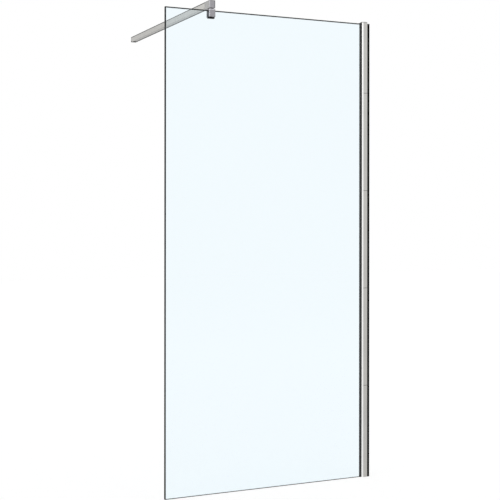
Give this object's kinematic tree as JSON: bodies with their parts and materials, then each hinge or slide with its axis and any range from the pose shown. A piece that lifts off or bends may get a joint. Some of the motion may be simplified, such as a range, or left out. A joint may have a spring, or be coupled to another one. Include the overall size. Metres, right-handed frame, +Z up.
{
  "type": "shower screen",
  "caption": "Walk-in shower screen: clear glass pane held by an adjustable aluminium wall profile and braced at the top by a square stabiliser arm that swivels on a glass clamp.",
  "frame": {"origin": "on the face of the wall that carries the profile, at the foot of the profile and in the middle of the glass thickness", "axes": "+X into the wall that carries the profile, +Y from the glass along the arm to the wall that carries the arm, +Z up"},
  "size_m": [0.911, 0.96, 1.9375],
  "materials": {
    "clear_glass": "clear toughened glass with polished edges",
    "satin_aluminium": "satin anodised, brushed along its length",
    "dark_channel": "black anodised",
    "clamp_metal": "satin",
    "screw_steel": "stainless",
    "gasket_rubber": "matt black",
    "black_nylon": "matt",
    "packer_plastic": "natural",
    "cap_plastic": "satin grey moulding"
  },
  "bodies": {
    "wall_rail": {"wall_channel": "dark_channel"},
    "arm": {"arm_head": "clamp_metal", "head_grub_screw": "screw_steel", "arm_tube": "satin_aluminium", "tube_grub_screw": "screw_steel", "foot_grub_screw": "screw_steel"},
    "foot": {"wall_foot": "clamp_metal"},
    "panel": {"glazing_profile": "satin_aluminium", "front_gasket": "gasket_rubber", "rear_gasket": "gasket_rubber", "glass_panel": "clear_glass", "edge_packers": "packer_plastic", "locking_screws": "screw_steel", "locking_nuts": "screw_steel", "locking_screw_caps": "cap_plastic", "profile_top_cap": "cap_plastic", "clamp_saddle": "clamp_metal", "clamp_front_pad": "gasket_rubber", "clamp_rear_pad": "gasket_rubber", "clamp_top_pad": "gasket_rubber", "clamp_pressure_plate": "screw_steel", "clamp_grub_screws": "screw_steel", "swivel_stud": "screw_steel", "swivel_washer": "black_nylon"}
  },
  "joints": [
    {"name": "panel_adjust", "type": "slide", "parent": "wall_rail", "child": "panel", "axis": [-1, 0, 0], "range_m": [-0.005, 0.007]},
    {"name": "arm_swivel", "type": "hinge", "parent": "panel", "child": "arm", "pos_m": [-0.7186, 0, 1.9072], "axis": [0, 0, 1], "range_deg": [-45, 45]},
    {"name": "foot_extend", "type": "slide", "parent": "arm", "child": "foot", "axis": [0, 1, 0], "range_m": [0, 0.025]}
  ]
}
